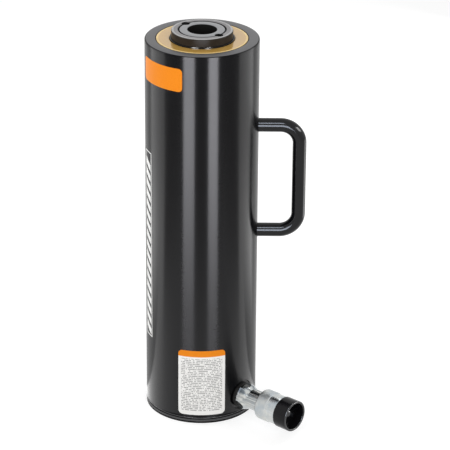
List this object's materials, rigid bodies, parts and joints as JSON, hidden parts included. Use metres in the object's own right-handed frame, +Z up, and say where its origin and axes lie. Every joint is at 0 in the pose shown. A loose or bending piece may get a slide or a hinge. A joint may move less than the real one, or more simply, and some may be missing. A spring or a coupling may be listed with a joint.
{
  "type": "hollow plunger cylinder",
  "caption": "Tall round hydraulic cylinder with a hollow rising plunger, clear centre hole, side handle and a capped hose coupler near the base.",
  "frame": {"origin": "on the ground under the middle of the outline box, at the underside of the base plate", "axes": "+Z up along the plunger's travel, +X towards the handle, the coupler points 41 degrees from +X towards -Y"},
  "size_m": [0.1868, 0.1742, 0.468],
  "materials": {
    "body_anodised": "gloss black anodised, fine turned grain",
    "plate_black_steel": "blackened steel",
    "screw_black": "black oxide",
    "tube_steel": "hard chromed steel",
    "seal_rubber": "black nitrile",
    "ring_gold": "satin gold bronze",
    "screw_steel": "plain steel",
    "bearing_composite": "brown composite",
    "backup_white": "white PTFE",
    "handle_black": "gloss black coat",
    "plunger_dark": "dark brown hard anodised",
    "saddle_steel": "satin grey steel",
    "piston_steel": "turned steel",
    "spring_steel": "oiled spring steel",
    "zinc_plate": "bright zinc plate",
    "cap_black": "gloss black moulding"
  },
  "bodies": {
    "cylinder": {"cylinder_body": "body_anodised", "base_plate": "plate_black_steel", "base_screw_1": "screw_black", "base_screw_2": "screw_black", "base_screw_3": "screw_black", "base_screw_4": "screw_black", "center_tube": "tube_steel", "tube_seal": "seal_rubber", "stop_ring": "ring_gold", "ring_lock_screw": "screw_steel", "rod_wiper": "seal_rubber", "gland_bearing": "bearing_composite", "handle": "handle_black", "return_spring": "spring_steel", "port_seal": "seal_rubber", "coupler_body": "zinc_plate", "collar_retainer": "screw_steel", "poppet_spring": "spring_steel"},
    "plunger_unit": {"plunger": "plunger_dark", "saddle": "saddle_steel", "piston_head": "piston_steel", "piston_seal": "seal_rubber", "piston_backup_ring": "backup_white", "piston_bearing": "bearing_composite", "inner_seal": "seal_rubber", "inner_bearing": "bearing_composite"},
    "collar": {"coupler_collar": "zinc_plate"},
    "cap": {"dust_cap": "cap_black"},
    "poppet": {"coupler_poppet": "screw_steel"}
  },
  "joints": [
    {"name": "plunger_lift", "type": "slide", "parent": "cylinder", "child": "plunger_unit", "axis": [0, 0, 1], "range_m": [0, 0.25], "stiffness_N_per_m": 1200, "springref_m": -0.125, "deforming": ["return_spring"]},
    {"name": "collar_spin", "type": "hinge", "parent": "cylinder", "child": "collar", "pos_m": [0.05436, -0.04979, 0.027], "axis": [0.7547, -0.6561, 0], "continuous": true},
    {"name": "dust_cap_pull", "type": "slide", "parent": "collar", "child": "cap", "axis": [0.7547, -0.6561, 0], "range_m": [0, 0.03]},
    {"name": "poppet_press", "type": "slide", "parent": "cylinder", "child": "poppet", "axis": [-0.7547, 0.6561, 0], "range_m": [0, 0.003], "stiffness_N_per_m": 600, "springref_m": -0.003, "deforming": ["poppet_spring"]}
  ]
}
